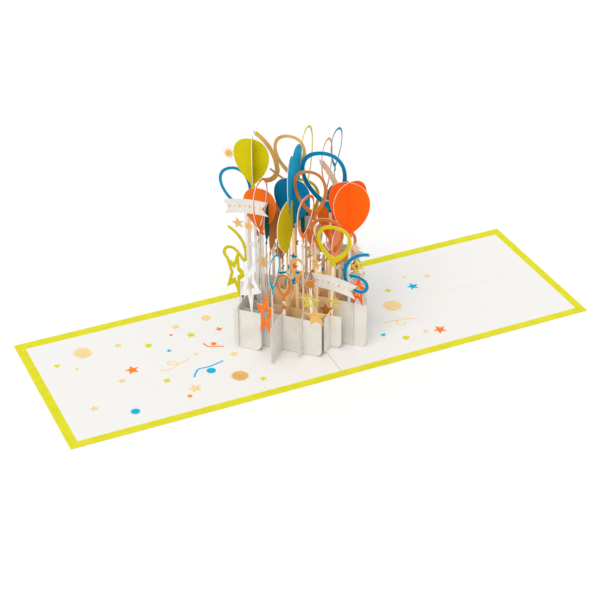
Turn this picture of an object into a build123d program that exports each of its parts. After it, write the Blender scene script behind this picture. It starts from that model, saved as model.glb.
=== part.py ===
from build123d import *
import math
import os

os.makedirs("parts", exist_ok=True)

# Card stock, all sizes in millimetres
page_length = 195.0
card_width = 130.0
cover_thickness = 0.5
liner_thickness = 0.35
border = 6.35
back_border = 8.0
front_border = 5.6
crease_width = 1.2
crease_depth = 0.2
paper = 0.35
slot_clearance = 0.25
page_gap = 0.3
tab_width = 6.0
tab_clearance = 0.2
overrun = 1.0
fin_seat = 0.1

# The pop-up across the fold: everything in it follows its height
popup_height = 156.0

# Lattice of slotted slices, as shares of the pop-up's height
pitch = popup_height * 0.0474
lattice_forward = popup_height * 0.0224
wall_height = popup_height * 0.199
corner_radius = popup_height * 0.032

# Sizes of the shapes on the slices, as shares of the pop-up's height
balloon_width = popup_height * 0.167
balloon_height = popup_height * 0.218
knot_width = popup_height * 0.0244
knot_neck = popup_height * 0.0115
knot_height = popup_height * 0.0205
hoop_band = popup_height * 0.0141
stem_width = popup_height * 0.0128
star_radius = popup_height * 0.0545
burst_radius = popup_height * 0.0385
gem_radius = popup_height * 0.0359
banner_length = popup_height * 0.205
banner_height = popup_height * 0.0667
banner_bow = popup_height * 0.0103
banner_notch = popup_height * 0.0256
ribbon_width = popup_height * 0.0167
curl_radius = popup_height * 0.0641
fin_hole = popup_height * 0.0077

# Outline shares
crown_share = 0.69
belly_share = 0.63
belly_up_share = 0.36
neck_share = 0.035
neck_seat_share = 0.9
star_waist_share = 0.42
star_open_share = 0.56
tall_star_open_share = 0.42
burst_core_share = 0.45
burst_ray_share = 0.2
gem_waist_share = 0.42
gem_open_share = 0.5
tip_share = 0.7
burst_rays = 12
egg_steps = 8
upright = 90

page_top = cover_thickness + liner_thickness
slice_foot = page_top + page_gap
slot_width = paper + slot_clearance

# Walls of the slices: left end and right end in pitches, top as a share of the
# wall height. Slices of one family are numbered from front left to back right,
# those of the other from back left to front right.
wall_shares = {
    ("a", -5): (-5.5, -2.75, 1.0),
    ("a", -4): (-5.3, 2.9, 0.91),
    ("a", -2): (-5.4, 4.15, 0.84),
    ("a", -1): (-6.6, 6.3, 1.12),
    ("a", 1): (-6.3, 5.45, 1.12),
    ("a", 2): (-4.15, 5.3, 0.84),
    ("a", 4): (-2.9, 4.4, 0.91),
    ("a", 5): (0.6, 3.7, 1.0),
    ("b", -5): (-5.3, 1.4, 1.1),
    ("b", -3): (-4.7, 3.55, 0.95),
    ("b", -1): (-6.95, 5.2, 0.98),
    ("b", 1): (-5.2, 6.3, 0.98),
    ("b", 3): (-3.55, 5.5, 0.95),
    ("b", 5): (-1.4, 2.9, 1.1),
}

# Middles of the glued tabs, in pitches along the slices that carry them
tab_shares = {("a", -5): -3.9, ("b", -5): -3.9, ("a", 5): 2.0, ("b", 3): 4.8}

# Shapes on each slice. Places are pitches along it and shares of the pop-up
# height, sizes are shares of the shape's own named sizes, turns are degrees.
# disc and hoop: foot, width, height, band, turn, foot of the stem
# star, open_star, burst, gem and banner: middle, size, turn, foot of the stem
# tall_star: middle, size, width against height, turn, foot of the stem
# curl: start, heading, width, arcs of radius share and degrees to the left
item_shares = {
    ("a", -5): [
        ("tall_star", -3.75, 0.35, 2.95, 0.33, -30, None),
        ("tall_star", -2.25, 0.21, 2.35, 0.36, -4, None),
    ],
    ("a", -4): [
        ("banner", -4.45, 0.7, 1.0, 6, -4.1),
        ("star", -5.2, 0.62, 0.55, 12, None),
        ("burst", -4.15, 0.615, 0.85, 0, None),
        ("star", -3.75, 0.31, 0.66, 0, None),
        ("burst", 1.8, 0.38, 1.15, 0, 1.95),
        ("open_star", 1.75, 0.29, 0.85, 0, None),
        ("star", 2.3, 0.215, 1.0, 8, None),
        ("hoop", -0.8, 0.265, 0.45, 0.55, 0.8, 0, -0.8),
    ],
    ("a", -2): [
        ("disc", -3.7, 0.525, 0.91, 0.96, 1, 3, -3.6),
        ("disc", -4.45, 0.75, 0.98, 1.0, 1, 2, -4.2),
        ("burst", -6.75, 0.9, 0.93, 0, None),
        ("gem", -4.3, 0.465, 1.1, 0, None),
        ("banner", 3.35, 0.33, 1.04, -7, None),
        ("hoop", 3.3, 0.43, 0.95, 0.85, 1, -2, 3.15),
        ("star", 2.65, 0.2, 0.72, 10, None),
        ("open_star", 3.55, 0.245, 0.6, 0, None),
        ("hoop", -0.25, 0.31, 0.43, 0.5, 0.8, 0, -0.25),
        ("star", 0.9, 0.33, 0.4, 0, 0.9),
        ("star", 1.7, 0.42, 0.4, 0, 1.7),
    ],
    ("a", -1): [
        ("hoop", -5.38, 0.578, 0.88, 1.04, 0.9, 22, -5.3),
        ("tall_star", -6.9, 0.268, 2.5, 0.42, -17, None),
        ("disc", -1.0, 0.56, 1.0, 1.03, 1, 1, -0.85),
        ("hoop", 1.07, 0.617, 0.92, 1.015, 0.9, 6, 1.2),
        ("disc", 4.55, 0.565, 1.12, 1.14, 1, 1, 4.55),
        ("hoop", 2.5, 0.43, 0.92, 0.86, 0.9, 3, 2.6),
        ("gem", 5.25, 0.42, 1.0, 0, None),
        ("burst", 5.15, 0.515, 0.85, 0, None),
        ("tall_star", 5.45, 0.3, 1.7, 0.5, -6, None),
        ("curl", 6.45, 0.492, 182, 0.95, ((1.8, 98), (1.15, 75), (0.52, 150), (1.3, 50))),
        ("curl", -7.5, 0.505, -25, 0.85, ((-2.2, 76), (-0.12, 144), (1.9, 28), (0.5, 195))),
        ("open_star", -1.3, 0.31, 1.2, 12, -1.3),
    ],
    ("a", 1): [
        ("hoop", -1.8, 0.74, 0.9, 0.92, 0.95, 4, -1.75),
        ("hoop", 1.93, 0.6125, 1.27, 1.27, 1.2, 9, 2.1),
        ("curl", -5.35, 0.94, -30, 1.3, ((-3.1, 55), (-1.0, 95))),
        ("curl", -3.95, 0.777, -37, 0.6, ((6, 14),)),
        ("disc", -3.8, 0.4, 0.9, 0.9, 1, 0, -3.8),
        ("hoop", 2.9, 0.36, 0.8, 0.8, 0.9, -5, 2.9),
        ("open_star", 0.3, 0.4, 1.0, 0, 0.3),
        ("star", 4.9, 0.27, 0.7, 0, 4.9),
    ],
    ("a", 2): [
        ("disc", 1.7, 0.42, 0.9, 0.95, 1, -3, 1.75),
        ("banner", -1.9, 0.5, 0.95, 5, -2.0),
        ("disc", 3.5, 0.53, 0.9, 0.9, 1, 8, 3.5),
        ("curl", 0.75, 0.825, -46, 1.6, ((-5.2, 38),)),
        ("burst", 3.0, 0.36, 0.95, 0, 3.0),
        ("gem", -3.6, 0.36, 1.0, 0, -3.6),
    ],
    ("a", 4): [
        ("hoop", -1.6, 0.45, 0.95, 0.95, 0.9, 5, -1.6),
        ("disc", 2.0, 0.46, 0.95, 0.95, 1, -4, 2.0),
        ("banner", 2.2, 0.33, 0.9, -5, None),
        ("open_star", 0.2, 0.3, 1.2, 0, 0.2),
    ],
    ("a", 5): [
        ("tall_star", 1.5, 0.3, 2.3, 0.5, 4, None),
        ("star", 3.0, 0.24, 0.7, 0, 3.0),
    ],
    ("b", -5): [
        ("hoop", 0.4, 0.42, 0.8, 0.8, 0.8, -5, 0.4),
        ("star", -3.9, 0.25, 0.4, 0, -3.9),
    ],
    ("b", -3): [
        ("hoop", -4.15, 0.593, 0.97, 1.08, 0.62, -4, -4.15),
        ("disc", -2.75, 0.502, 0.7, 0.84, 1, -19, -2.8),
        ("disc", -1.85, 0.425, 0.72, 0.8, 1, -26, -2.3),
        ("hoop", 1.3, 0.3, 0.8, 0.8, 0.8, 0, 1.35),
        ("star", 2.6, 0.36, 0.8, 0, 2.6),
    ],
    ("b", -1): [
        ("hoop", -6.4, 0.365, 0.78, 0.75, 0.7, -13, -6.45),
        ("disc", -2.6, 0.457, 1.22, 1.14, 1, 3, -2.6),
        ("disc", -1.9, 0.65, 0.42, 1.15, 1, -6, -1.9),
        ("disc", -0.45, 0.68, 0.76, 1.1, 1, -8, -0.5),
        ("disc", 1.45, 0.43, 0.72, 0.78, 1, -15, 1.45),
        ("hoop", 2.5, 0.655, 0.88, 1.35, 0.62, -3, 2.5),
        ("disc", 3.5, 0.335, 0.8, 0.8, 1, -8, 3.5),
    ],
    ("b", 1): [
        ("hoop", -3.65, 0.57, 1.25, 0.88, 0.8, -14, -3.7),
        ("hoop", 2.6, 0.665, 0.84, 1.12, 0.62, 0, 2.6),
        ("hoop", 4.75, 0.72, 0.9, 0.83, 0.62, -10, 4.65),
        ("disc", -0.4, 0.36, 0.8, 0.85, 1, -8, -0.4),
        ("star", 1.45, 0.33, 0.6, 0, 1.45),
        ("hoop", -2.0, 0.24, 0.55, 0.55, 0.8, -5, -2.0),
    ],
    ("b", 3): [
        ("disc", -0.6, 0.38, 0.75, 0.8, 1, -8, -0.6),
        ("disc", 3.0, 0.5, 0.85, 0.9, 1, 8, 3.0),
        ("star", 1.9, 0.31, 0.7, 0, 1.9),
    ],
    ("b", 5): [
        ("star", -0.4, 0.3, 0.6, 10, -0.4),
        ("gem", 1.6, 0.3, 0.9, 0, 1.6),
    ],
}

# Cross fins of the solid balloons: slice, place of the balloon in its list,
# and degrees between the fin and its slice
fin_shares = {
    "green_balloon_fin": (("a", -2), 1, 110),
    "orange_balloon_fin": (("a", -1), 4, 60),
    "blue_balloon_fin": (("a", 4), 1, 80),
}


def egg(width, height):
    """Balloon outline with its neck at the origin and its crown straight above."""
    neck = width * neck_share
    right = Bezier(
        (0, height),
        (width * crown_share, height),
        (width * belly_share, height * belly_up_share),
        (neck, 0),
    )
    points = [right @ (step / egg_steps) for step in range(egg_steps + 1)]
    left = [(-point.X, point.Y) for point in reversed(points[1:])]
    return make_face(Polyline(*points, *left, close=True))


def knot():
    """Flared knot that stands on the origin, with the balloon's neck on it."""
    return make_face(
        Polyline(
            (knot_width / 2, 0),
            (knot_neck / 2, knot_height),
            (-knot_neck / 2, knot_height),
            (-knot_width / 2, 0),
            close=True,
        )
    )


def disc(width_share, height_share):
    """Solid balloon over its knot."""
    body = egg(balloon_width * width_share, balloon_height * height_share)
    return knot() + Pos(0, knot_height * neck_seat_share) * body


def hoop(width_share, height_share, band_share):
    """Balloon cut out to a band, over its knot."""
    width = balloon_width * width_share
    height = balloon_height * height_share
    band = hoop_band * band_share
    body = egg(width, height) - Pos(0, 2 * band) * egg(width - 2 * band, height - 3 * band)
    return knot() + Pos(0, knot_height * neck_seat_share) * body


def ring_points(radii, turn):
    """Points at even angles round the origin, one for each radius."""
    step = 360 / len(radii)
    return [
        (radius * math.cos(math.radians(turn + step * i)), radius * math.sin(math.radians(turn + step * i)))
        for i, radius in enumerate(radii)
    ]


def star(size_share):
    radius = star_radius * size_share
    radii = [radius, radius * star_waist_share] * 5
    return make_face(Polyline(*ring_points(radii, upright), close=True))


def open_star(size_share):
    return star(size_share) - star(size_share * star_open_share)


def tall_star(size_share, squeeze_share, turn):
    """Open star turned and then pressed narrow."""
    radii = [star_radius * size_share, star_radius * size_share * star_waist_share] * 5
    points = [(x * squeeze_share, y) for x, y in ring_points(radii, upright + turn)]
    inner = [(x * tall_star_open_share, y * tall_star_open_share) for x, y in points]
    return make_face(Polyline(*points, close=True)) - make_face(Polyline(*inner, close=True))


def burst(size_share):
    """Disc of thin rays, each a slim triangle on the core."""
    radius = burst_radius * size_share
    core = radius * burst_core_share
    step = 360 / burst_rays
    points = []
    for ray in range(burst_rays):
        for reach, lean in ((core, -burst_ray_share), (radius, 0), (core, burst_ray_share)):
            angle = math.radians(step * (ray + lean))
            points.append((reach * math.cos(angle), reach * math.sin(angle)))
    return make_face(Polyline(*points, close=True))


def gem(size_share):
    """Four-pointed star cut out in the middle."""
    radius = gem_radius * size_share
    outline = [radius, radius * gem_waist_share] * 4
    opening = [radius * gem_open_share, radius * gem_waist_share * gem_open_share] * 4
    outer = make_face(Polyline(*ring_points(outline, upright), close=True))
    return outer - make_face(Polyline(*ring_points(opening, upright), close=True))


def banner(size_share):
    """Bowed strip with swallowtail ends."""
    half = banner_length * size_share / 2
    top = banner_height * size_share / 2
    bow = banner_bow * size_share
    notch = banner_notch * size_share
    return make_face(
        [
            ThreePointArc((-half, top), (0, top + bow), (half, top)),
            Line((half, top), (half - notch, 0)),
            Line((half - notch, 0), (half, -top)),
            ThreePointArc((half, -top), (0, bow - top), (-half, -top)),
            Line((-half, -top), (notch - half, 0)),
            Line((notch - half, 0), (-half, top)),
        ]
    )


def sector(centre, radius, width, start, sweep):
    """Piece of a flat ring from one angle over a sweep, both in degrees."""
    outer = CenterArc(centre, radius + width / 2, start, sweep)
    inner = CenterArc(centre, radius - width / 2, start, sweep)
    return make_face([outer, Line(outer @ 1, inner @ 1), inner, Line(inner @ 0, outer @ 0)])


def curl(heading, width_share, arcs):
    """Ribbon of tangent arcs from the origin, with a pointed start."""
    width = ribbon_width * width_share
    point = Vector(0, 0)
    tip = Polyline((-width * tip_share, 0), (0, -width / 2), (0, width / 2), close=True)
    face = Rot(0, 0, heading) * make_face(tip)
    for radius_share, turn in arcs:
        radius = curl_radius * abs(radius_share)
        side = math.copysign(1, radius_share)
        left = Vector(0, 1).rotate(Axis.Z, heading)
        centre = point + left * (side * radius)
        start = heading - upright * side
        face = face + sector(centre, radius, width, start, side * turn)
        heading = heading + side * turn
        point = centre - Vector(0, 1).rotate(Axis.Z, heading) * (side * radius)
    return face


def strip(start, end, width):
    """Straight strip of one width between two points."""
    run = end - start
    angle = math.degrees(math.atan2(run.Y, run.X))
    middle = (start + end) / 2
    return Pos(middle.X, middle.Y) * Rot(0, 0, angle) * Rectangle(run.length, width)


def spot(along_share, up_share):
    return Vector(along_share * pitch, up_share * popup_height)


def item_face(item, wall_top):
    """One shape of a slice, with its stem down to the wall where it has one."""
    kind, along_share, up_share = item[:3]
    place = spot(along_share, up_share)
    foot_share = None
    if kind == "curl":
        heading, width_share, arcs = item[3:]
        face = curl(heading, width_share, arcs)
    elif kind in ("disc", "hoop"):
        width_share, height_share, band_share, turn, foot_share = item[3:]
        if kind == "disc":
            face = disc(width_share, height_share)
        else:
            face = hoop(width_share, height_share, band_share)
        face = Rot(0, 0, turn) * face
    elif kind == "tall_star":
        size_share, squeeze_share, turn, foot_share = item[3:]
        face = tall_star(size_share, squeeze_share, turn)
    else:
        size_share, turn, foot_share = item[3:]
        drawn = {"star": star, "open_star": open_star, "burst": burst, "gem": gem, "banner": banner}
        face = Rot(0, 0, turn) * drawn[kind](size_share)
    face = Pos(place.X, place.Y) * face
    if foot_share is not None:
        foot = Vector(foot_share * pitch, wall_top - overrun)
        face = face + strip(foot, place, stem_width)
    return face


def wall_of(key):
    """Left end, right end and top of a slice's wall."""
    left, right, top = wall_shares[key]
    return left * pitch, right * pitch, slice_foot + top * wall_height


def profile(key):
    """Whole outline of a slice before its slots are cut."""
    left, right, top = wall_of(key)
    wall = Pos((left + right) / 2, (slice_foot + top) / 2) * Rectangle(right - left, top - slice_foot)
    wall = fillet(wall.vertices().group_by(Axis.Y)[0], corner_radius)
    face = wall
    for item in item_shares[key]:
        face = face + item_face(item, top)
    return face


def spans(face, along):
    """Heights over which a face is crossed by the upright line at a place along it."""
    strip_face = Pos(along, popup_height / 2) * Rectangle(slot_width, 2 * popup_height)
    hits = face & strip_face
    boxes = [hit.bounding_box() for hit in hits.faces()] if hits else []
    return [(box.min.Y, box.max.Y) for box in boxes]


def shared(first, second):
    """Heights that two lists of spans have in common."""
    pairs = [(max(a[0], b[0]), min(a[1], b[1])) for a in first for b in second]
    return [(low, high) for low, high in pairs if high > low]


def slot(along, low, high):
    return Pos(along, (low + high) / 2) * Rectangle(slot_width, high - low)


def slice_plane(family, number):
    """Upright plane of a slice: its x runs along the slice and its y runs up."""
    step = number * pitch / math.sqrt(2)
    middle = Vector(0, -lattice_forward)
    if family == "a":
        return Plane(middle + Vector(step, step), x_dir=(1, -1, 0), z_dir=(-1, -1, 0))
    return Plane(middle + Vector(step, -step), x_dir=(1, 1, 0), z_dir=(1, -1, 0))


numbers_a = sorted(number for family, number in item_shares if family == "a")
numbers_b = sorted(number for family, number in item_shares if family == "b")
faces = {key: profile(key) for key in item_shares}

# Half slots wherever two slices meet: the upper half in one, the lower in the other
cuts = {key: [] for key in faces}
for a in numbers_a:
    for b in numbers_b:
        common = shared(spans(faces[("a", a)], b * pitch), spans(faces[("b", b)], a * pitch))
        for low, high in common:
            middle = (low + high) / 2
            cuts[("a", a)].append(slot(b * pitch, middle, high + overrun))
            cuts[("b", b)].append(slot(a * pitch, low - overrun, middle))

# Fins turn about an upright line through their balloon, in a slot of its own
fin_faces = {}
for name, (key, index, angle) in fin_shares.items():
    kind, along_share, up_share, width_share, height_share = item_shares[key][index][:5]
    foot = spot(along_share, up_share)
    width = balloon_width * width_share
    height = balloon_height * height_share
    low = foot.Y + knot_height
    middle = low + height / 2
    opening = paper * (1 + abs(math.cos(math.radians(angle)))) / math.sin(math.radians(angle))
    opening = opening + slot_clearance
    upper = Pos(foot.X, middle + height / 2) * Rectangle(opening, height)
    cuts[key].append(upper)
    fin = Pos(0, low) * egg(width, height)
    fin = fin - Pos(0, low + height / 4) * Rectangle(opening, height / 2 + 2 * fin_seat)
    fin = fin - Pos(0, low) * Rectangle(knot_neck, overrun)
    fin = fin - Pos(0, middle + fin_seat) * Circle(fin_hole / 2)
    fin_faces[name] = (key, foot.X, angle, fin)

parts = {}
for order, number in enumerate(numbers_a, 1):
    parts["slice_a%d" % order] = ("a", number)
for order, number in enumerate(numbers_b, 1):
    parts["slice_b%d" % order] = ("b", number)

solids = {}
tab_boxes = []
for name, key in parts.items():
    face = faces[key]
    plane = slice_plane(*key)
    if key in tab_shares:
        reach = slice_foot + overrun - cover_thickness
        middle = cover_thickness + reach / 2
        along = tab_shares[key] * pitch
        face = face + Pos(along, middle) * Rectangle(tab_width, reach)
        opening = Pos(along, middle) * Rectangle(tab_width + 2 * tab_clearance, reach)
        tab_boxes.append(extrude(plane * opening, amount=paper / 2 + tab_clearance, both=True))
    for cut in cuts[key]:
        face = face - cut
    solids[name] = extrude(plane * face, amount=paper / 2, both=True)

for name, (key, along, angle, face) in fin_faces.items():
    host = slice_plane(*key)
    place = host.origin + host.x_dir * along
    across = host.x_dir.rotate(Axis.Z, angle)
    plane = Plane(place, x_dir=across, z_dir=across.cross(Vector(0, 0, 1)))
    solids[name] = extrude(plane * face, amount=paper / 2, both=True)

# Folded cover with a pressed crease along the fold, lying open
cover = Pos(0, 0, cover_thickness / 2) * Box(2 * page_length, card_width, cover_thickness)
crease = Plane.XZ * make_face(
    Polyline((-crease_width / 2, 0), (0, crease_depth), (crease_width / 2, 0), close=True)
)
solids["cover"] = cover - extrude(crease, amount=card_width, both=True)

# White liner glued inside it, nearer to the front, with a slit for each tab
liner_length = 2 * (page_length - border)
liner_width = card_width - back_border - front_border
liner_middle = (front_border - back_border) / 2
liner_height = cover_thickness + liner_thickness / 2
liner = Pos(0, liner_middle, liner_height) * Box(liner_length, liner_width, liner_thickness)
for box in tab_boxes:
    liner = liner - box
solids["liner"] = liner

for name, solid in solids.items():
    export_step(solid, "parts/%s.step" % name)
    print(name, "solids", len(solid.solids()))
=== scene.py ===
import math

import bmesh
import bpy
from mathutils import Matrix, Vector


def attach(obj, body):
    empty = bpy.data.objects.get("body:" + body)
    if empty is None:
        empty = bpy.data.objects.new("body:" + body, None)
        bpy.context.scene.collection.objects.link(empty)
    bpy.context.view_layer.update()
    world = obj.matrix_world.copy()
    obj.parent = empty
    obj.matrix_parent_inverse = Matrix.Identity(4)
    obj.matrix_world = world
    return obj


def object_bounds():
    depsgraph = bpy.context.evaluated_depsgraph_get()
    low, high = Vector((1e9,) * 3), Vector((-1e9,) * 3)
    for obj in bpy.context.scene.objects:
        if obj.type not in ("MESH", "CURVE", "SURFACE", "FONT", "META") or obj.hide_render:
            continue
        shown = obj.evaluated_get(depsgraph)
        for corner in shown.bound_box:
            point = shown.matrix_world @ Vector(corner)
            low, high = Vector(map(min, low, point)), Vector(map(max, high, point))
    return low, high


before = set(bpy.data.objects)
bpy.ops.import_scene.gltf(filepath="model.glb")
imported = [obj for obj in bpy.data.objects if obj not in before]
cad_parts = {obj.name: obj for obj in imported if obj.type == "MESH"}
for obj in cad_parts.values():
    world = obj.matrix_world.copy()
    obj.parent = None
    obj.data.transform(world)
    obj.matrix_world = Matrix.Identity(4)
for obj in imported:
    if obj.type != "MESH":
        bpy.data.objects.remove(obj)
cad_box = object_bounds()

# Sizes in metres
pop_height = 0.156
pitch = pop_height * 0.0474
forward = pop_height * 0.0224
paper = 0.00035
page_top = 0.00085
balloon_width = pop_height * 0.167
balloon_height = pop_height * 0.218
knot_width = pop_height * 0.0244
knot_neck = pop_height * 0.0115
knot_height = pop_height * 0.0205
hoop_band = pop_height * 0.0141
star_radius = pop_height * 0.0545
burst_radius = pop_height * 0.0385
gem_radius = pop_height * 0.0359
banner_length = pop_height * 0.205
banner_height = pop_height * 0.0667
banner_bow = pop_height * 0.0103
banner_notch = pop_height * 0.0256
ribbon_width = pop_height * 0.0167
curl_radius = pop_height * 0.0641
fin_hole = pop_height * 0.0077
skin = 0.00002
skin_step = 0.000005
margin = 0.00004
bore_margin = 0.0002
open_share = 0.56
tall_open_share = 0.42
waist_share = 0.42
page_skin = 0.00003
page_curl_skin = 0.000032
banner_gem = 0.0016
banner_gem_waist = 0.00085
banner_star = 0.0015
banner_star_waist = 0.00068
banner_dot = 0.00055
row_start = 0.0955
row_step = 0.0031
row_marks = 23
row_star = 0.0012
row_star_waist = 0.00055
row_dot = 0.0005
floor_reach = 6.0
floor_drop = 0.0002

# Inks, as screen colours
INKS = {
    "gold": (238, 186, 102),
    "copper": (206, 120, 38),
    "orange": (255, 122, 30),
    "red_orange": (255, 100, 4),
    "peach": (255, 152, 100),
    "blue": (0, 142, 186),
    "deep_blue": (0, 118, 165),
    "light_blue": (16, 172, 216),
    "teal": (0, 104, 104),
    "green": (212, 198, 4),
    "lime": (228, 222, 40),
    "beige": (236, 214, 182),
    "stone": (232, 228, 221),
    "white": (240, 239, 236),
    "pale_gold": (252, 222, 160),
    "page_orange": (255, 140, 48),
    "page_blue": (12, 184, 228),
}

# Ink and shape of each printed item, in the order of the slices' own shapes
ITEMS = {
    ("a", -5): [
        ("white", "tall_star", -3.75, 0.35, 2.95, 0.33, -30),
        ("orange", "tall_star", -2.25, 0.21, 2.35, 0.36, -4),
    ],
    ("a", -4): [
        ("stone", "banner", -4.45, 0.7, 1.0, 6),
        ("gold", "star", -5.2, 0.62, 0.55, 12),
        ("gold", "burst", -4.15, 0.615, 0.85, 0),
        ("beige", "star", -3.75, 0.31, 0.66, 0),
        ("copper", "burst", 1.8, 0.38, 1.15, 0),
        ("green", "open_star", 1.75, 0.29, 0.85, 0),
        ("gold", "star", 2.3, 0.215, 1.0, 8),
        ("copper", "hoop", -0.8, 0.265, 0.45, 0.55, 0.8, 0),
    ],
    ("a", -2): [
        ("orange", "disc", -3.7, 0.525, 0.91, 0.96, 1, 3),
        ("green", "disc", -4.45, 0.75, 0.98, 1.0, 1, 2),
        ("gold", "burst", -6.75, 0.9, 0.93, 0),
        ("white", "gem", -4.3, 0.465, 1.1, 0),
        ("stone", "banner", 3.35, 0.33, 1.04, -7),
        ("green", "hoop", 3.3, 0.43, 0.95, 0.85, 1, -2),
        ("copper", "star", 2.65, 0.2, 0.72, 10),
        ("green", "open_star", 3.55, 0.245, 0.6, 0),
        ("gold", "hoop", -0.25, 0.31, 0.43, 0.5, 0.8, 0),
        ("blue", "star", 0.9, 0.33, 0.4, 0),
        ("gold", "star", 1.7, 0.42, 0.4, 0),
    ],
    ("a", -1): [
        ("blue", "hoop", -5.38, 0.578, 0.88, 1.04, 0.9, 22),
        ("green", "tall_star", -6.9, 0.268, 2.5, 0.42, -17),
        ("deep_blue", "disc", -1.0, 0.56, 1.0, 1.03, 1, 1),
        ("copper", "hoop", 1.07, 0.617, 0.92, 1.015, 0.9, 6),
        ("red_orange", "disc", 4.55, 0.565, 1.12, 1.14, 1, 1),
        ("copper", "hoop", 2.5, 0.43, 0.92, 0.86, 0.9, 3),
        ("green", "gem", 5.25, 0.42, 1.0, 0),
        ("beige", "burst", 5.15, 0.515, 0.85, 0),
        ("red_orange", "tall_star", 5.45, 0.3, 1.7, 0.5, -6),
        ("blue", "curl", 6.45, 0.492, 182, 0.95, ((1.8, 98), (1.15, 75), (0.52, 150), (1.3, 50))),
        ("green", "curl", -7.5, 0.505, -25, 0.85, ((-2.2, 76), (-0.12, 144), (1.9, 28), (0.5, 195))),
        ("blue", "open_star", -1.3, 0.31, 1.2, 12),
    ],
    ("a", 1): [
        ("gold", "hoop", -1.8, 0.74, 0.9, 0.92, 0.95, 4),
        ("blue", "hoop", 1.93, 0.6125, 1.27, 1.27, 1.2, 9),
        ("gold", "curl", -5.35, 0.94, -30, 1.3, ((-3.1, 55), (-1.0, 95))),
        ("gold", "curl", -3.95, 0.777, -37, 0.6, ((6, 14),)),
        ("copper", "disc", -3.8, 0.4, 0.9, 0.9, 1, 0),
        ("peach", "hoop", 2.9, 0.36, 0.8, 0.8, 0.9, -5),
        ("gold", "open_star", 0.3, 0.4, 1.0, 0),
        ("beige", "star", 4.9, 0.27, 0.7, 0),
    ],
    ("a", 2): [
        ("orange", "disc", 1.7, 0.42, 0.9, 0.95, 1, -3),
        ("stone", "banner", -1.9, 0.5, 0.95, 5),
        ("peach", "disc", 3.5, 0.53, 0.9, 0.9, 1, 8),
        ("beige", "curl", 0.75, 0.825, -46, 1.6, ((-5.2, 38),)),
        ("gold", "burst", 3.0, 0.36, 0.95, 0),
        ("green", "gem", -3.6, 0.36, 1.0, 0),
    ],
    ("a", 4): [
        ("green", "hoop", -1.6, 0.45, 0.95, 0.95, 0.9, 5),
        ("blue", "disc", 2.0, 0.46, 0.95, 0.95, 1, -4),
        ("stone", "banner", 2.2, 0.33, 0.9, -5),
        ("gold", "open_star", 0.2, 0.3, 1.2, 0),
    ],
    ("a", 5): [
        ("green", "tall_star", 1.5, 0.3, 2.3, 0.5, 4),
        ("orange", "star", 3.0, 0.24, 0.7, 0),
    ],
    ("b", -5): [
        ("orange", "hoop", 0.4, 0.42, 0.8, 0.8, 0.8, -5),
        ("blue", "star", -3.9, 0.25, 0.4, 0),
    ],
    ("b", -3): [
        ("orange", "hoop", -4.15, 0.593, 0.97, 1.08, 0.62, -4),
        ("teal", "disc", -2.75, 0.502, 0.7, 0.84, 1, -19),
        ("copper", "disc", -1.85, 0.425, 0.72, 0.8, 1, -26),
        ("copper", "hoop", 1.3, 0.3, 0.8, 0.8, 0.8, 0),
        ("gold", "star", 2.6, 0.36, 0.8, 0),
    ],
    ("b", -1): [
        ("light_blue", "hoop", -6.4, 0.365, 0.78, 0.75, 0.7, -13),
        ("green", "disc", -2.6, 0.457, 1.22, 1.14, 1, 3),
        ("light_blue", "disc", -1.9, 0.65, 0.42, 1.15, 1, -6),
        ("light_blue", "disc", -0.45, 0.68, 0.76, 1.1, 1, -8),
        ("teal", "disc", 1.45, 0.43, 0.72, 0.78, 1, -15),
        ("lime", "hoop", 2.5, 0.655, 0.88, 1.35, 0.62, -3),
        ("orange", "disc", 3.5, 0.335, 0.8, 0.8, 1, -8),
    ],
    ("b", 1): [
        ("orange", "hoop", -3.65, 0.57, 1.25, 0.88, 0.8, -14),
        ("peach", "hoop", 2.6, 0.665, 0.84, 1.12, 0.62, 0),
        ("blue", "hoop", 4.75, 0.72, 0.9, 0.83, 0.62, -10),
        ("beige", "disc", -0.4, 0.36, 0.8, 0.85, 1, -8),
        ("gold", "star", 1.45, 0.33, 0.6, 0),
        ("copper", "hoop", -2.0, 0.24, 0.55, 0.55, 0.8, -5),
    ],
    ("b", 3): [
        ("peach", "disc", -0.6, 0.38, 0.75, 0.8, 1, -8),
        ("orange", "disc", 3.0, 0.5, 0.85, 0.9, 1, 8),
        ("blue", "star", 1.9, 0.31, 0.7, 0),
    ],
    ("b", 5): [
        ("orange", "star", -0.4, 0.3, 0.6, 10),
        ("green", "gem", 1.6, 0.3, 0.9, 0),
    ],
}

# Cross fins: slice, place of the balloon in its list, degrees from the slice
FINS = {
    "green_balloon_fin": (("a", -2), 1, 110),
    "orange_balloon_fin": (("a", -1), 4, 60),
    "blue_balloon_fin": (("a", 4), 1, 80),
}


def screen(colour):
    """Linear colour with alpha from a screen colour of 0 to 255."""
    parts = [c / 255 for c in colour]
    return [c / 12.92 if c <= 0.04045 else ((c + 0.055) / 1.055) ** 2.4 for c in parts] + [1.0]


# Outlines, as lists of points round a shape

def turned(points, degrees):
    c = math.cos(math.radians(degrees))
    s = math.sin(math.radians(degrees))
    return [(x * c - y * s, x * s + y * c) for x, y in points]


def moved(points, dx, dy):
    return [(x + dx, y + dy) for x, y in points]


def grown(points, reach):
    """Outline pushed outwards by a distance, or inwards where it is negative."""
    count = len(points)
    out = []
    for i in range(count):
        before, here, after = points[i - 1], points[i], points[(i + 1) % count]
        first = Vector((here[0] - before[0], here[1] - before[1])).normalized()
        second = Vector((after[0] - here[0], after[1] - here[1])).normalized()
        side = Vector((first.y + second.y, -first.x - second.x))
        side = side / max(side.length_squared / 2, 0.6)
        out.append((here[0] + side.x * reach, here[1] + side.y * reach))
    return out


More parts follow.
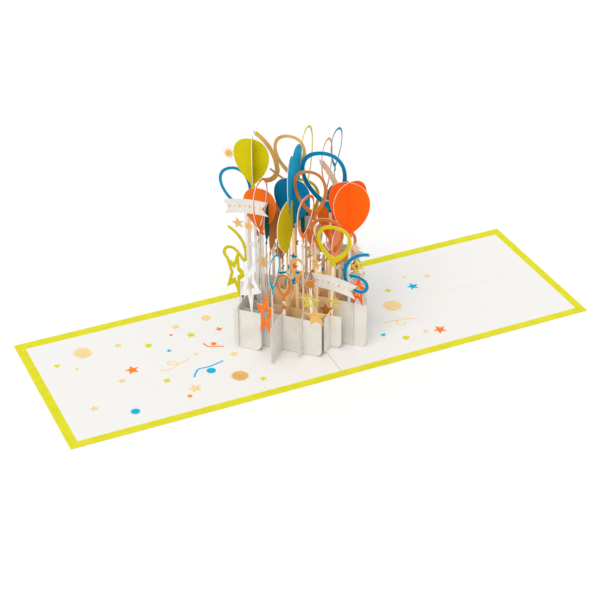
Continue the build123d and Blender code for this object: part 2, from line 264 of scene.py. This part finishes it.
def egg(width, height, steps=22):
    """Balloon outline from its crown round to the neck at the origin, anticlockwise."""
    neck = width * 0.035
    corners = [(0, height), (width * 0.69, height), (width * 0.63, height * 0.36), (neck, 0)]
    right = []
    for i in range(steps + 1):
        t = i / steps
        weights = [(1 - t) ** 3, 3 * t * (1 - t) ** 2, 3 * t * t * (1 - t), t ** 3]
        right.append(tuple(sum(w * p[k] for w, p in zip(weights, corners)) for k in (0, 1)))
    left = [(-x, y) for x, y in right[1:]]
    return left + right[:0:-1] + [right[0]]


def ring_points(radii, turn):
    step = 2 * math.pi / len(radii)
    return [
        (r * math.cos(math.radians(turn) + step * i), r * math.sin(math.radians(turn) + step * i))
        for i, r in enumerate(radii)
    ]


def star_points(size, turn=0.0, squeeze=1.0):
    points = ring_points([star_radius * size, star_radius * size * waist_share] * 5, 90 + turn)
    return [(x * squeeze, y) for x, y in points]


def scaled(points, share):
    return [(x * share, y * share) for x, y in points]


def burst_points(size, rays=12):
    radius = burst_radius * size
    points = []
    for ray in range(rays):
        for reach, lean in ((0.45, -0.2), (1, 0), (0.45, 0.2)):
            angle = 2 * math.pi * (ray + lean) / rays
            points.append((radius * reach * math.cos(angle), radius * reach * math.sin(angle)))
    return points


def banner_points(size, steps=12):
    half = banner_length * size / 2
    top = banner_height * size / 2
    bow = banner_bow * size
    notch = banner_notch * size

    def arc(share):
        return bow * (1 - share * share)

    lower = [(half * (2 * i / steps - 1), arc(2 * i / steps - 1) - top) for i in range(steps + 1)]
    upper = [(x, y + 2 * top) for x, y in reversed(lower)]
    return lower + [(half - notch, 0)] + upper + [(notch - half, 0)]


def curl_points(heading, width, arcs, step=7.0):
    """Left and right edges of a ribbon of tangent arcs from the origin."""
    half = ribbon_width * width / 2 + margin
    place = Vector((0, 0))
    angle = heading
    stops = [(place.copy(), angle)]
    for share, turn in arcs:
        radius = curl_radius * abs(share)
        side = 1 if share > 0 else -1
        pieces = max(2, round(turn / step))
        for i in range(pieces):
            bend = side * turn / pieces
            chord = 2 * radius * math.sin(math.radians(turn / pieces) / 2)
            way = math.radians(angle + bend / 2)
            place = place + Vector((math.cos(way), math.sin(way))) * chord
            angle += bend
            stops.append((place.copy(), angle))
    left, right = [], []
    for spot, way in stops:
        across = Vector((-math.sin(math.radians(way)), math.cos(math.radians(way))))
        left.append(tuple(spot + across * half))
        right.append(tuple(spot - across * half))
    return left, right


KNOT = [
    (-knot_width / 2, 0),
    (knot_width / 2, 0),
    (knot_neck / 2, knot_height),
    (-knot_neck / 2, knot_height),
]


def slice_frame(key):
    """Origin, run, up and facing of an upright slice."""
    family, number = key
    step = number * pitch / math.sqrt(2)
    half = 1 / math.sqrt(2)
    if family == "a":
        origin = Vector((step, step - forward, 0))
        run = Vector((half, -half, 0))
    else:
        origin = Vector((step, -step - forward, 0))
        run = Vector((half, half, 0))
    return origin, run, Vector((0, 0, 1)), run.cross(Vector((0, 0, 1)))


def plate(mesh, place, outline, half, hole=None):
    """Closed plate with inked faces and plain card edges."""
    origin, run, up, facing = place

    def loop(points, side):
        return [mesh.verts.new(origin + run * x + up * y + facing * side * half) for x, y in points]

    count = len(outline)
    front, back = loop(outline, 1), loop(outline, -1)
    if hole:
        inner_front, inner_back = loop(hole, 1), loop(hole, -1)
    for i in range(count):
        j = (i + 1) % count
        edge = mesh.faces.new((front[i], front[j], back[j], back[i]))
        edge.material_index = 1
        if hole:
            mesh.faces.new((front[i], inner_front[i], inner_front[j], front[j]))
            mesh.faces.new((back[j], inner_back[j], inner_back[i], back[i]))
            edge = mesh.faces.new((inner_back[i], inner_back[j], inner_front[j], inner_front[i]))
            edge.material_index = 1
    if not hole:
        mesh.faces.new(front)
        mesh.faces.new(list(reversed(back)))


def ribbon(mesh, place, edges, half, rise=3e-7):
    """Closed strip between two edges, a shade thicker towards its end."""
    origin, run, up, facing = place
    rings = []
    for i, (a, b) in enumerate(zip(*edges)):
        deep = facing * (half + rise * i)
        corners = [origin + run * x + up * y for x, y in (a, b)]
        points = (corners[0] + deep, corners[1] + deep, corners[1] - deep, corners[0] - deep)
        rings.append([mesh.verts.new(point) for point in points])
    for first, second in zip(rings, rings[1:]):
        for k in range(4):
            n = (k + 1) % 4
            face = mesh.faces.new((first[k], first[n], second[n], second[k]))
            face.material_index = k % 2
    for ring in (rings[0], list(reversed(rings[-1]))):
        face = mesh.faces.new(ring)
        face.material_index = 1


meshes = {item[0]: bmesh.new() for items in ITEMS.values() for item in items}


def draw(key, order, item):
    """Prints one item over its shape on the slice."""
    ink, kind, along, up = item[:4]
    mesh = meshes[ink]
    origin, run, top, facing = slice_frame(key)
    place = (origin + run * along * pitch + top * up * pop_height, run, top, facing)
    half = paper / 2 + skin + skin_step * order
    if kind == "curl":
        heading, width, arcs = item[4:]
        ribbon(mesh, place, curl_points(heading, width, arcs), half)
        return
    if kind in ("disc", "hoop"):
        width, height, band, turn = item[4:]
        lift = knot_height * 0.9
        body = moved(egg(balloon_width * width, balloon_height * height), 0, lift)
        hole = None
        if kind == "hoop":
            thick = hoop_band * band
            hole = egg(balloon_width * width - 2 * thick, balloon_height * height - 3 * thick)
            hole = moved(grown(hole, -bore_margin), 0, lift + 2 * thick)
            hole = turned(hole, turn)
        plate(mesh, place, turned(grown(body, margin), turn), half, hole)
        plate(mesh, place, turned(grown(KNOT, margin), turn), half - skin_step / 2)
        return
    hole = None
    if kind == "tall_star":
        size, squeeze, turn = item[4:]
        outline = star_points(size, turn, squeeze)
        hole = scaled(outline, tall_open_share)
    else:
        size, turn = item[4:]
        if kind == "star":
            outline = star_points(size)
        elif kind == "open_star":
            outline = star_points(size)
            hole = scaled(outline, open_share)
        elif kind == "burst":
            outline = burst_points(size)
        elif kind == "gem":
            outline = ring_points([gem_radius * size, gem_radius * size * waist_share] * 4, 90)
            hole = scaled(outline, 0.5)
        else:
            outline = banner_points(size)
        outline = turned(outline, turn)
        hole = turned(hole, turn) if hole else None
    plate(mesh, place, grown(outline, margin), half, grown(hole, -margin) if hole else None)


for key, items in ITEMS.items():
    for order, item in enumerate(items):
        draw(key, order, item)

# Small cut-out confetti on the stems: slice, place along and up, ink, shape, radius in millimetres
CONFETTI = [
    (("a", -2), -3.66, 0.385, "gold", "burst", 5.0),
    (("a", -4), -0.8, 0.235, "copper", "star", 3.4),
    (("a", 2), -3.6, 0.332, "copper", "dot", 3.2),
    (("b", -1), 1.45, 0.405, "gold", "star", 3.2),
    (("a", -1), -0.93, 0.412, "blue", "star", 3.4),
    (("b", -3), -2.76, 0.44, "gold", "star", 2.8),
    (("b", -1), 2.5, 0.474, "orange", "dot", 2.0),
    (("b", -1), 3.5, 0.325, "copper", "burst", 3.6),
    (("a", 2), -1.93, 0.4, "copper", "star", 3.2),
    (("b", -3), 1.31, 0.275, "blue", "gem", 3.0),
    (("a", -1), -0.92, 0.365, "orange", "gem", 3.0),
    (("b", 1), -3.67, 0.44, "gold", "gem", 3.0),
    (("a", -1), 1.12, 0.462, "beige", "burst", 3.8),
    (("a", -1), 1.14, 0.404, "gold", "star", 2.8),
    (("b", 1), 1.45, 0.3, "teal", "star", 2.8),
    (("b", 1), 2.6, 0.364, "orange", "star", 2.8),
    (("a", -1), -0.87, 0.285, "blue", "star", 3.8),
    (("b", -3), -2.1, 0.299, "gold", "dot", 1.8),
]
for number, (key, along, up, ink, kind, radius) in enumerate(CONFETTI):
    origin, run, top, facing = slice_frame(key)
    place = (origin + run * along * pitch + top * up * pop_height, run, top, facing)
    r = radius / 1000
    outline = {
        "star": ring_points([r, r * 0.45] * 5, 96),
        "gem": ring_points([r, r * 0.45] * 4, 90),
        "burst": ring_points([r, r * 0.55] * 14, 90),
        "dot": ring_points([r] * 20, 0),
    }[kind]
    plate(meshes[ink], place, outline, paper / 2 + skin + skin_step * (12 + number))

# Printed skins of the cross fins, each with its small hole
for key, index, angle in FINS.values():
    ink, kind, along, up, width, height = ITEMS[key][index][:6]
    origin, run, top, facing = slice_frame(key)
    spot = origin + run * along * pitch + top * (up * pop_height + knot_height)
    across = run.copy()
    across.rotate(Matrix.Rotation(math.radians(angle), 3, "Z"))
    place = (spot, across, top, across.cross(top))
    outline = grown(egg(balloon_width * width, balloon_height * height), margin)
    count = len(outline)
    ring = ring_points([fin_hole / 2] * count, 90 + 360 / count)
    ring = moved(ring, 0, balloon_height * height / 2)
    plate(meshes[ink], place, outline, paper / 2 + skin, ring)


# Materials

def fresh(name):
    material = bpy.data.materials.new(name)
    material.use_nodes = True
    nodes = material.node_tree.nodes
    return material, nodes, material.node_tree.links, nodes["Principled BSDF"]


def noise(nodes, scale, detail=3.0):
    place = nodes.new("ShaderNodeTexCoord")
    grain = nodes.new("ShaderNodeTexNoise")
    grain.inputs["Scale"].default_value = scale
    grain.inputs["Detail"].default_value = detail
    return place, grain


def stock(name, colour, shade, roughness, grain_scale=900.0, bump=0.12, gloss=0.12):
    """Printed or plain card: a faint mottle in the colour and a fine fibre grain."""
    material, nodes, links, shader = fresh(name)
    place, mottle = noise(nodes, 120.0)
    links.new(place.outputs["Object"], mottle.inputs["Vector"])
    ramp = nodes.new("ShaderNodeValToRGB")
    ramp.color_ramp.elements[0].position = 0.36
    ramp.color_ramp.elements[0].color = screen(shade)
    ramp.color_ramp.elements[1].position = 0.62
    ramp.color_ramp.elements[1].color = screen(colour)
    links.new(mottle.outputs["Fac"], ramp.inputs["Fac"])
    links.new(ramp.outputs["Color"], shader.inputs["Base Color"])
    place, fibre = noise(nodes, grain_scale, 4.0)
    links.new(place.outputs["Object"], fibre.inputs["Vector"])
    relief = nodes.new("ShaderNodeBump")
    relief.inputs["Strength"].default_value = bump
    relief.inputs["Distance"].default_value = 0.0001
    links.new(fibre.outputs["Fac"], relief.inputs["Height"])
    links.new(relief.outputs["Normal"], shader.inputs["Normal"])
    shader.inputs["Roughness"].default_value = roughness
    shader.inputs["Specular IOR Level"].default_value = gloss
    return material


def darker(colour, share):
    return tuple(c * share for c in colour)


card_edge = stock("card_edge", (244, 242, 237), (236, 233, 226), 0.85)
ink_materials = {}
for ink, colour in INKS.items():
    if ink in ("gold", "copper"):
        ink_materials[ink] = stock("ink_" + ink, colour, darker(colour, 0.92), 0.45, 1500.0, 0.2, 0.3)
    else:
        ink_materials[ink] = stock("ink_" + ink, colour, darker(colour, 0.965), 0.7)


def white_card():
    """Uncoated white card of the slices, painted warmer deep inside the pop-up as a stand-in for light
    bounced onto it from the print.
    """
    material, nodes, links, shader = fresh("slice_card")
    place, mottle = noise(nodes, 90.0)
    links.new(place.outputs["Object"], mottle.inputs["Vector"])
    ramp = nodes.new("ShaderNodeValToRGB")
    ramp.color_ramp.elements[0].position = 0.35
    ramp.color_ramp.elements[0].color = screen((222, 218, 209))
    ramp.color_ramp.elements[1].position = 0.65
    ramp.color_ramp.elements[1].color = screen((231, 228, 221))
    links.new(mottle.outputs["Fac"], ramp.inputs["Fac"])

    # Painted bounce light: a mask by distance from the pop-up's middle marks where the warm tint goes
    shift = nodes.new("ShaderNodeVectorMath")
    shift.operation = "MULTIPLY_ADD"
    shift.inputs[1].default_value = (1, 1, 0.42)
    shift.inputs[2].default_value = (0, forward, -0.022)
    links.new(place.outputs["Object"], shift.inputs[0])
    span = nodes.new("ShaderNodeVectorMath")
    span.operation = "LENGTH"
    links.new(shift.outputs[0], span.inputs[0])
    painted_bounce_mask = nodes.new("ShaderNodeMapRange")
    painted_bounce_mask.interpolation_type = "SMOOTHSTEP"
    painted_bounce_mask.inputs["From Min"].default_value = 0.034
    painted_bounce_mask.inputs["From Max"].default_value = 0.022
    painted_bounce_mask.inputs["To Min"].default_value = 0.0
    painted_bounce_mask.inputs["To Max"].default_value = 1.0
    links.new(span.outputs["Value"], painted_bounce_mask.inputs["Value"])
    # Warm tan painted in as bounce light and shade inside the pop-up
    painted_bounce_mix = nodes.new("ShaderNodeMixRGB")
    painted_bounce_mix.inputs["Color2"].default_value = screen((255, 220, 166))
    links.new(painted_bounce_mask.outputs["Result"], painted_bounce_mix.inputs["Fac"])
    links.new(ramp.outputs["Color"], painted_bounce_mix.inputs["Color1"])
    links.new(painted_bounce_mix.outputs["Color"], shader.inputs["Base Color"])

    place, fibre = noise(nodes, 1100.0, 4.0)
    links.new(place.outputs["Object"], fibre.inputs["Vector"])
    relief = nodes.new("ShaderNodeBump")
    relief.inputs["Strength"].default_value = 0.15
    relief.inputs["Distance"].default_value = 0.0001
    links.new(fibre.outputs["Fac"], relief.inputs["Height"])
    links.new(relief.outputs["Normal"], shader.inputs["Normal"])
    shader.inputs["Roughness"].default_value = 0.85
    return material


def liner_paper():
    """Smooth white paper with a fine grey line of painted crease shade along the fold."""
    material, nodes, links, shader = fresh("liner_paper")
    place, mottle = noise(nodes, 60.0)
    links.new(place.outputs["Object"], mottle.inputs["Vector"])
    ramp = nodes.new("ShaderNodeValToRGB")
    ramp.color_ramp.elements[0].position = 0.35
    ramp.color_ramp.elements[0].color = screen((242, 241, 238))
    ramp.color_ramp.elements[1].position = 0.65
    ramp.color_ramp.elements[1].color = screen((243, 242, 240))
    links.new(mottle.outputs["Fac"], ramp.inputs["Fac"])
    split = nodes.new("ShaderNodeSeparateXYZ")
    links.new(place.outputs["Object"], split.inputs[0])
    away = nodes.new("ShaderNodeMath")
    away.operation = "ABSOLUTE"
    links.new(split.outputs["X"], away.inputs[0])
    # Painted shade: a grey line along the fold stands in for the shade in the crease
    painted_crease_shade = nodes.new("ShaderNodeMapRange")
    painted_crease_shade.interpolation_type = "SMOOTHSTEP"
    painted_crease_shade.inputs["From Min"].default_value = 0.0006
    painted_crease_shade.inputs["From Max"].default_value = 0.0001
    painted_crease_shade.inputs["To Min"].default_value = 0.0
    painted_crease_shade.inputs["To Max"].default_value = 0.8
    links.new(away.outputs[0], painted_crease_shade.inputs["Value"])
    # Grey of the painted crease shade
    mix = nodes.new("ShaderNodeMixRGB")
    mix.inputs["Color2"].default_value = screen((205, 199, 190))
    links.new(painted_crease_shade.outputs["Result"], mix.inputs["Fac"])
    links.new(ramp.outputs["Color"], mix.inputs["Color1"])
    links.new(mix.outputs["Color"], shader.inputs["Base Color"])
    place, fibre = noise(nodes, 1400.0, 3.0)
    links.new(place.outputs["Object"], fibre.inputs["Vector"])
    relief = nodes.new("ShaderNodeBump")
    relief.inputs["Strength"].default_value = 0.08
    relief.inputs["Distance"].default_value = 0.0001
    links.new(fibre.outputs["Fac"], relief.inputs["Height"])
    links.new(relief.outputs["Normal"], shader.inputs["Normal"])
    shader.inputs["Roughness"].default_value = 0.7
    return material


slice_card = white_card()
node_materials = {
    "cover": stock("cover_card", (229, 225, 46), (222, 218, 38), 0.65, 1000.0, 0.12),
    "liner": liner_paper(),
    "green_balloon_fin": ink_materials["green"],
    "orange_balloon_fin": ink_materials["red_orange"],
    "blue_balloon_fin": ink_materials["blue"],
}
for name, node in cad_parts.items():
    material = node_materials.get(name, slice_card)
    if not node.material_slots:
        node.data.materials.append(material)
    for slot in node.material_slots:
        slot.material = material


def piece(name, mesh, materials):
    data = bpy.data.meshes.new(name)
    for corner in mesh.verts:
        corner.co.z = min(corner.co.z, cad_box[1][2])
    bmesh.ops.recalc_face_normals(mesh, faces=mesh.faces)
    mesh.to_mesh(data)
    mesh.free()
    for material in materials:
        data.materials.append(material)
    made = bpy.data.objects.new(name, data)
    bpy.context.collection.objects.link(made)
    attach(made, "root")
    return made


for ink, mesh in meshes.items():
    piece("ink_" + ink, mesh, [ink_materials[ink], card_edge])


# Small ornaments printed along the banners

def banner_print():
    mesh = bmesh.new()
    marks = (
        ("gem", -0.36), ("dot", -0.235), ("star", -0.115), ("dot", 0.0),
        ("star", 0.115), ("dot", 0.235), ("gem", 0.36),
    )
    for key, items in ITEMS.items():
        for order, item in enumerate(items):
            if item[1] != "banner":
                continue
            along, up, size, turn = item[2:]
            origin, run, top, facing = slice_frame(key)
            place = (origin + run * along * pitch + top * up * pop_height, run, top, facing)
            half = paper / 2 + skin + skin_step * order + skin
            for kind, share in marks:
                x = banner_length * size * share
                y = banner_bow * size * (1 - (2 * share) ** 2)
                hole = None
                if kind == "gem":
                    outline = ring_points([banner_gem, banner_gem_waist] * 4, 90)
                    hole = scaled(outline, 0.5)
                elif kind == "star":
                    outline = ring_points([banner_star, banner_star_waist] * 5, 90)
                else:
                    outline = ring_points([banner_dot] * 10, 90)
                outline = turned(moved(outline, x, y), turn)
                hole = turned(moved(hole, x, y), turn) if hole else None
                plate(mesh, place, outline, half, hole)
    return piece("banner_print", mesh, [ink_materials["gold"], ink_materials["gold"]])


banner_print()

# Confetti printed on the pages: ink, shape, place in millimetres, size, turn
PAGE = [
    ("pale_gold", "sun", -154.3, 35.6, 7.4, 0),
    ("pale_gold", "star", -129.0, 34.0, 3.6, 0),
    ("pale_gold", "star", -140.6, -7.9, 3.4, 10),
    ("pale_gold", "star", -167.6, -30.4, 3.8, 0),
    ("pale_gold", "star", -98.8, -37.0, 5.4, 5),
    ("pale_gold", "star", -59.2, -9.9, 4.0, 0),
    ("lime", "dot", -109.6, 25.0, 2.5, 0),
    ("pale_gold", "square", -84.0, 39.2, 3.4, 0),
    ("page_orange", "dot", -90.6, 30.9, 1.2, 0),
    ("lime", "star", -77.8, 25.0, 4.0, 0),
    ("lime", "star", -175.2, 27.9, 3.1, 15),
    ("lime", "star", -52.3, -45.7, 3.2, 0),
    ("pale_gold", "dot", -60.0, 41.0, 3.6, 0),
    ("pale_gold", "dot", -83.2, 1.2, 1.5, 0),
    ("pale_gold", "dot", -163.9, 18.6, 1.4, 0),
    ("page_orange", "gem", -56.9, 23.8, 3.0, 0),
    ("page_blue", "star", -98.8, 13.0, 2.3, 0),
    ("page_orange", "star", -129.8, 1.5, 5.4, 0),
    ("page_orange", "star", -105.0, -43.7, 2.6, 20),
    ("lime", "square", -112.6, -20.3, 3.2, 0),
    ("page_blue", "sun", -143.9, -44.7, 3.6, 0),
    ("gold", "sun", -65.5, -36.0, 6.6, 0),
    ("page_orange", "dot", -67.3, 7.9, 2.0, 0),
    ("page_blue", "dot", -81.0, -21.9, 3.3, 0),
    ("pale_gold", "dot", 95.0, 30.9, 1.5, 0),
    ("pale_gold", "dot", 64.7, 38.8, 3.4, 0),
    ("pale_gold", "square", 111.3, 25.0, 3.0, 0),
    ("page_blue", "star", 94.9, 16.5, 5.0, 0),
    ("page_blue", "star", 46.0, -32.3, 2.7, 20),
    ("lime", "gem", 75.5, 18.9, 3.3, 0),
    ("pale_gold", "sun", 69.2, -0.9, 7.8, 0),
    ("pale_gold", "star", 75.3, -40.5, 3.0, 0),
    ("page_orange", "star", 85.7, -43.1, 5.4, 10),
    ("lime", "dot", 58.9, -42.2, 2.6, 0),
]
# Ribbons as points along them, each drawn as one smooth stroke
PAGE_CURLS = [
    ("page_orange", 0.65, ((-73.6, 11.4), (-72.5, 7.4), (-70.6, 5.6), (-66.0, 3.8), (-62.1, 1.8))),
    ("page_blue", 0.65, ((-94.4, -24.5), (-91.6, -20.0), (-87.7, -16.6), (-80.6, -16.9), (-69.2, -14.5))),
    ("pale_gold", 0.5, (
        (-113.4, -6.7), (-108.4, -8.8), (-102.9, -7.7), (-99.1, -5.3), (-100.0, -1.5), (-102.9, 0.5),
        (-105.2, -1.0), (-103.4, -3.7), (-98.5, -4.5), (-93.7, -4.1), (-89.7, -2.2),
    )),
    ("pale_gold", 0.55, ((52.9, -18.4), (58.6, -18.7), (68.7, -19.9), (74.8, -22.4), (77.0, -25.8))),
    ("pale_gold", 0.55, (
        (64.3, -19.7), (61.8, -21.6), (61.8, -24.6), (63.7, -26.5),
        (66.4, -26.5), (67.3, -24.3), (65.8, -22.7),
    )),
]


def stroke(points, half, pieces=8):
    """Left and right edges of a smooth stroke through the points."""
    marks = [Vector(point) for point in points]
    marks = [2 * marks[0] - marks[1]] + marks + [2 * marks[-1] - marks[-2]]
    path = []
    for a, b, c, d in zip(marks, marks[1:], marks[2:], marks[3:]):
        for i in range(pieces):
            t = i / pieces
            bend = (2 * a - 5 * b + 4 * c - d) * t * t + (3 * b - a - 3 * c + d) * t ** 3
            path.append(b + ((c - a) * t + bend) / 2)
    path.append(marks[-2])
    left, right = [], []
    for i, spot in enumerate(path):
        way = (path[min(i + 1, len(path) - 1)] - path[max(i - 1, 0)]).normalized()
        across = Vector((-way.y, way.x)) * half
        left.append(tuple((spot + across) / 1000))
        right.append(tuple((spot - across) / 1000))
    return left, right


def sun_points(radius, rays=22):
    """Disc with a fringe of short pointed rays."""
    return ring_points([radius, radius * 0.76] * rays, 0)


def page_print():
    prints = {}
    page = (Vector((0, 0, page_top)), Vector((1, 0, 0)), Vector((0, 1, 0)), Vector((0, 0, 1)))
    for ink, kind, x, y, size, turn in PAGE:
        mesh = prints.setdefault(ink, bmesh.new())
        r = size / 1000
        outline = {
            "sun": sun_points(r),
            "star": ring_points([r, r * 0.45] * 5, 90),
            "gem": ring_points([r, r * 0.48] * 4, 90),
            "square": ring_points([r, r * 0.6] * 4, 45),
            "dot": ring_points([r] * 24, 0),
        }[kind]
        plate(mesh, page, moved(turned(outline, turn), x / 1000, y / 1000), page_skin)
    for ink, half, points in PAGE_CURLS:
        mesh = prints.setdefault(ink, bmesh.new())
        ribbon(mesh, page, stroke(points, half), page_curl_skin, 1e-7)
    # A row of small stars and dots across the right page
    for i in range(row_marks):
        x = row_start + row_step * i
        if i % 4 == 0:
            outline = ring_points([row_star, row_star_waist] * 5, 0)
        else:
            outline = ring_points([row_dot] * 10, 0)
        plate(prints["pale_gold"], page, moved(outline, x, 0.0), page_skin)
    for ink, mesh in prints.items():
        piece("page_" + ink, mesh, [ink_materials[ink], ink_materials[ink]])


page_print()


# Floor, light and camera

def floor():
    mesh = bmesh.new()
    reach = floor_reach
    places = ((-reach, -reach), (reach, -reach), (reach, reach), (-reach, reach))
    corners = [mesh.verts.new((x, y, -floor_drop)) for x, y in places]
    mesh.faces.new(corners)
    data = bpy.data.meshes.new("floor")
    mesh.to_mesh(data)
    mesh.free()
    material, nodes, links, shader = fresh("floor")
    shader.inputs["Base Color"].default_value = (1.0, 1.0, 1.0, 1)
    shader.inputs["Roughness"].default_value = 0.9
    shader.inputs["Specular IOR Level"].default_value = 0.1
    data.materials.append(material)
    made = bpy.data.objects.new("floor", data)
    bpy.context.collection.objects.link(made)


def light():
    world = bpy.data.worlds.new("studio")
    bpy.context.scene.world = world
    world.use_nodes = True
    nodes = world.node_tree.nodes
    links = world.node_tree.links
    soft = nodes["Background"]
    soft.inputs["Color"].default_value = (1, 1, 1, 1)
    soft.inputs["Strength"].default_value = 0.76
    seen = nodes.new("ShaderNodeBackground")
    seen.inputs["Color"].default_value = (1, 1, 1, 1)
    seen.inputs["Strength"].default_value = 1.0
    path = nodes.new("ShaderNodeLightPath")
    first = nodes.new("ShaderNodeMath")
    first.operation = "MAXIMUM"
    links.new(path.outputs["Is Camera Ray"], first.inputs[0])
    links.new(path.outputs["Is Glossy Ray"], first.inputs[1])
    second = nodes.new("ShaderNodeMath")
    second.operation = "MAXIMUM"
    links.new(first.outputs[0], second.inputs[0])
    links.new(path.outputs["Is Transmission Ray"], second.inputs[1])
    mix = nodes.new("ShaderNodeMixShader")
    links.new(second.outputs[0], mix.inputs["Fac"])
    links.new(soft.outputs[0], mix.inputs[1])
    links.new(seen.outputs[0], mix.inputs[2])
    links.new(mix.outputs[0], nodes["World Output"].inputs["Surface"])
    lamp = bpy.data.lights.new("key", "SUN")
    lamp.energy = 1.12
    lamp.angle = math.radians(40)
    lamp.color = (1.0, 0.985, 0.96)
    key = bpy.data.objects.new("key", lamp)
    bpy.context.collection.objects.link(key)
    way = Vector((-0.55, -0.5, 1.0))
    key.rotation_euler = way.to_track_quat("Z", "Y").to_euler()


def camera():
    azimuth = math.radians(-25.613)
    elevation = math.radians(32.523)
    roll = math.radians(-0.384)
    back = Vector((
        math.sin(azimuth) * math.cos(elevation),
        -math.cos(azimuth) * math.cos(elevation),
        math.sin(elevation),
    ))
    right = (-back).cross(Vector((0, 0, 1))).normalized()
    up = back.cross(right)
    c, s = math.cos(roll), math.sin(roll)
    right, up = right * c - up * s, right * s + up * c
    data = bpy.data.cameras.new("camera")
    data.sensor_width = 36
    data.lens = 99.935
    data.shift_x = -0.0667
    made = bpy.data.objects.new("camera", data)
    bpy.context.collection.objects.link(made)
    turn = Matrix((right, up, back)).transposed().to_4x4()
    made.matrix_world = Matrix.Translation((-0.40689, -0.90539, 0.65676)) @ turn
    bpy.context.scene.camera = made


floor()
light()
camera()
bpy.context.scene.view_settings.view_transform = "Standard"
